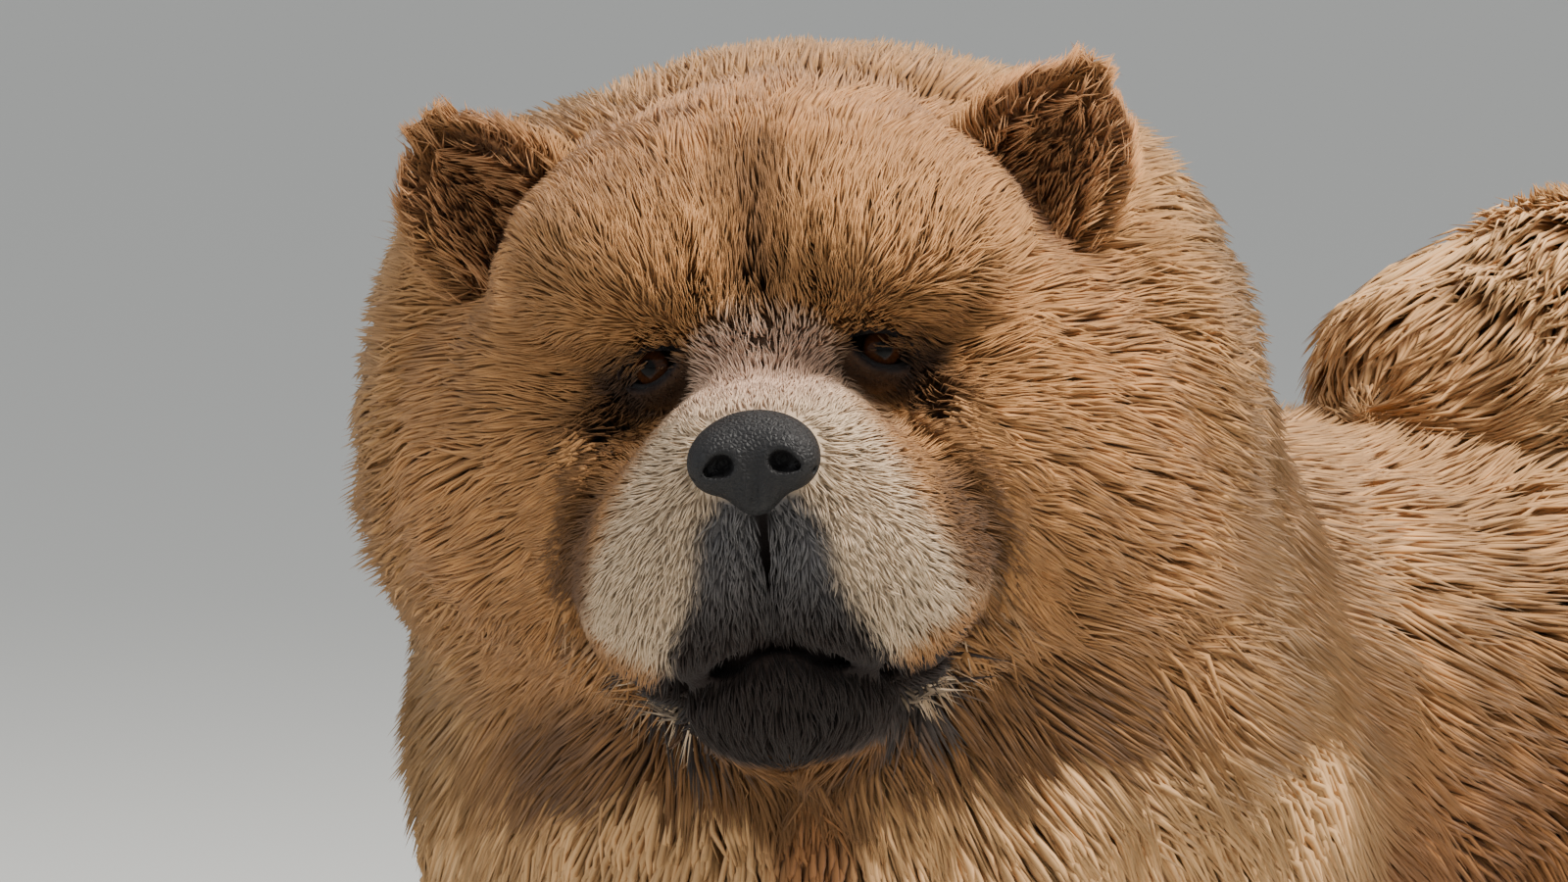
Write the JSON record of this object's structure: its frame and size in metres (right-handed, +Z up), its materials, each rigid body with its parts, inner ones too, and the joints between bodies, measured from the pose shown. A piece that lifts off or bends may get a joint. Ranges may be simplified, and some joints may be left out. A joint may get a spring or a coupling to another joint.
{
  "type": "chow chow",
  "caption": "Life-size standing chow chow with a lion-like mane, deep-set eyes, small rounded ears and a plumed tail curled over its back, its head turned to its left.",
  "frame": {"origin": "The middle of the model's footprint box, on the floor it stands on.", "axes": "+Z up, the dog faces -Y, and its left side is +X."},
  "size_m": [0.4165, 0.7881, 0.6894],
  "materials": {
    "fur": "dense, long, matte cinnamon-red coat",
    "nose_leather": "black, pebbled, slightly damp",
    "eye": "dark brown, wet and glossy",
    "claw": "dark horn, satin"
  },
  "bodies": {
    "root": {"head": "fur", "lower_jaw": "fur", "nose": "nose_leather", "neck": "fur", "torso": "fur", "tail": "fur", "ear_left": "fur", "ear_right": "fur", "eye_left": "eye", "eye_right": "eye", "front_leg_left": "fur", "front_leg_right": "fur", "hind_leg_left": "fur", "hind_leg_right": "fur", "front_paw_left": "fur", "front_paw_right": "fur", "hind_paw_left": "fur", "hind_paw_right": "fur", "claw_front_left_1": "claw", "claw_front_left_2": "claw", "claw_front_left_3": "claw", "claw_front_left_4": "claw", "claw_front_right_1": "claw", "claw_front_right_2": "claw", "claw_front_right_3": "claw", "claw_front_right_4": "claw", "claw_hind_left_1": "claw", "claw_hind_left_2": "claw", "claw_hind_left_3": "claw", "claw_hind_left_4": "claw", "claw_hind_right_1": "claw", "claw_hind_right_2": "claw", "claw_hind_right_3": "claw", "claw_hind_right_4": "claw"}
  },
  "joints": []
}
